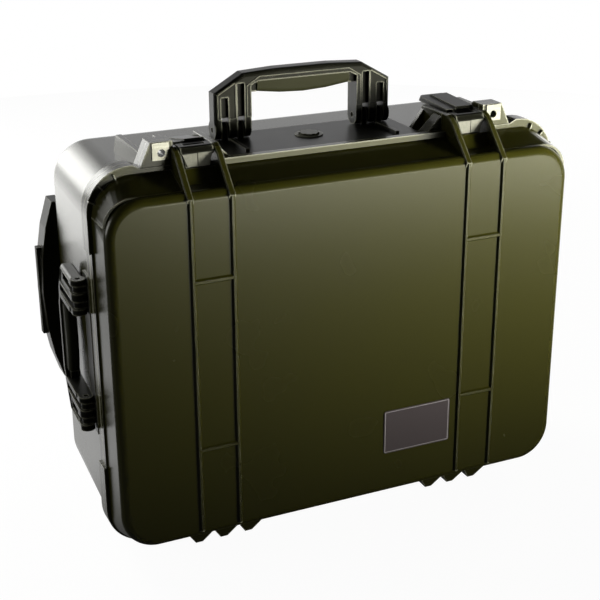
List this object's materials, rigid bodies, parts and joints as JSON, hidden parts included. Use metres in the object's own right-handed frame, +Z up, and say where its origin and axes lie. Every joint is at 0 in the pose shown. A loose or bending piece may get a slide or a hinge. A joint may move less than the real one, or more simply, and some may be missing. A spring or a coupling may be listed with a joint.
{
  "type": "laptop hard case",
  "caption": "Upright moulded hard case for a laptop with a hinged lid, two draw latches, fold-down handles, padlock ears, a telescopic pull handle and wheels.",
  "frame": {"origin": "middle of the footprint of the case standing upright on its hinge side, on the floor", "axes": "+X along the case's width, -Y out of the lid's face, +Z up towards the top handle"},
  "size_m": [0.5612, 0.2646, 0.4881],
  "materials": {
    "olive_shell": "moulded, fine grain",
    "black_plastic": "moulded, satin",
    "grip_rubber": "soft moulded grip",
    "seal_rubber": "round-cornered sealing ring",
    "steel": "stainless",
    "tube_aluminium": "drawn and anodised",
    "label": "bare label plate",
    "tyre": "soft tyre",
    "foam": "closed-cell foam",
    "sleeve_cloth": "padded woven nylon"
  },
  "bodies": {
    "base": {"base_shell": "olive_shell", "hinge_pin_left": "steel", "hinge_pin_right": "steel", "latch_pivot_pins": "steel", "top_handle_mount": "black_plastic", "top_handle_pins": "steel", "side_handle_mount": "black_plastic", "side_handle_pins": "steel", "valve_body": "black_plastic", "outer_tube_lower": "tube_aluminium", "outer_tube_upper": "tube_aluminium", "tube_cover": "black_plastic", "wheel_bracket_lower": "black_plastic", "wheel_bracket_upper": "black_plastic", "wheel_axle_lower": "steel", "wheel_axle_upper": "steel", "floor_pad": "foam", "frame_pad": "foam", "laptop_sleeve": "sleeve_cloth"},
    "lid": {"lid_shell": "olive_shell", "lid_seal": "seal_rubber", "lid_foam": "foam", "padlock_plates": "steel", "label_plate": "label"},
    "left_hook": {"latch_hook_left": "black_plastic", "latch_lever_pin_left": "steel"},
    "right_hook": {"latch_hook_right": "black_plastic", "latch_lever_pin_right": "steel"},
    "left_lever": {"latch_lever_left": "black_plastic"},
    "right_lever": {"latch_lever_right": "black_plastic"},
    "top_handle": {"top_handle_frame": "black_plastic", "top_handle_grip": "grip_rubber"},
    "side_handle": {"side_handle_frame": "black_plastic", "side_handle_grip": "grip_rubber"},
    "pull_handle": {"pull_handle_grip": "black_plastic", "inner_tube_lower": "tube_aluminium", "inner_tube_upper": "tube_aluminium"},
    "button": {"release_button": "grip_rubber"},
    "knob": {"valve_knob": "black_plastic"},
    "lower_wheel": {"tyre_lower": "tyre", "wheel_hub_lower": "black_plastic", "wheel_bearing_lower": "steel"},
    "upper_wheel": {"tyre_upper": "tyre", "wheel_hub_upper": "black_plastic", "wheel_bearing_upper": "steel"}
  },
  "joints": [
    {"name": "lid_open", "type": "hinge", "parent": "base", "child": "lid", "pos_m": [0, -0.076, 0.0055], "axis": [1, 0, 0], "range_deg": [0, 100]},
    {"name": "left_hook_swing", "type": "hinge", "parent": "base", "child": "left_hook", "pos_m": [-0.155, -0.052, 0.421], "axis": [-1, 0, 0], "range_deg": [0, 60]},
    {"name": "left_lever_lift", "type": "hinge", "parent": "left_hook", "child": "left_lever", "pos_m": [-0.155, -0.0795, 0.4336], "axis": [1, 0, 0], "range_deg": [0, 104]},
    {"name": "right_hook_swing", "type": "hinge", "parent": "base", "child": "right_hook", "pos_m": [0.155, -0.052, 0.421], "axis": [-1, 0, 0], "range_deg": [0, 60]},
    {"name": "right_lever_lift", "type": "hinge", "parent": "right_hook", "child": "right_lever", "pos_m": [0.155, -0.0795, 0.4336], "axis": [1, 0, 0], "range_deg": [-14, 90]},
    {"name": "top_handle_fold", "type": "hinge", "parent": "base", "child": "top_handle", "pos_m": [0, 0.002, 0.427], "axis": [-1, 0, 0], "range_deg": [0, 88]},
    {"name": "side_handle_fold", "type": "hinge", "parent": "base", "child": "side_handle", "pos_m": [-0.2728, -0.055, 0.222], "axis": [0, 0, 1], "range_deg": [0, 90]},
    {"name": "pull_handle_extend", "type": "slide", "parent": "base", "child": "pull_handle", "axis": [-1, 0, 0], "range_m": [0, 0.38]},
    {"name": "release_button_press", "type": "slide", "parent": "pull_handle", "child": "button", "axis": [1, 0, 0], "range_m": [0, 0.003], "stiffness_N_per_m": 1500},
    {"name": "valve_turn", "type": "hinge", "parent": "base", "child": "knob", "pos_m": [0, -0.019, 0.4172], "axis": [0, 0, 1], "range_deg": [0, 180]},
    {"name": "lower_wheel_spin", "type": "hinge", "parent": "base", "child": "lower_wheel", "pos_m": [0.2533, 0.10535, 0.0605], "axis": [0, 0, 1], "continuous": true},
    {"name": "upper_wheel_spin", "type": "hinge", "parent": "base", "child": "upper_wheel", "pos_m": [0.2533, 0.10535, 0.3605], "axis": [0, 0, 1], "continuous": true}
  ],
  "couplings": [
    {"joint": "left_lever_lift", "follows": "left_hook_swing", "ratio": 1.5},
    {"joint": "right_lever_lift", "follows": "right_hook_swing", "ratio": 1.5}
  ]
}
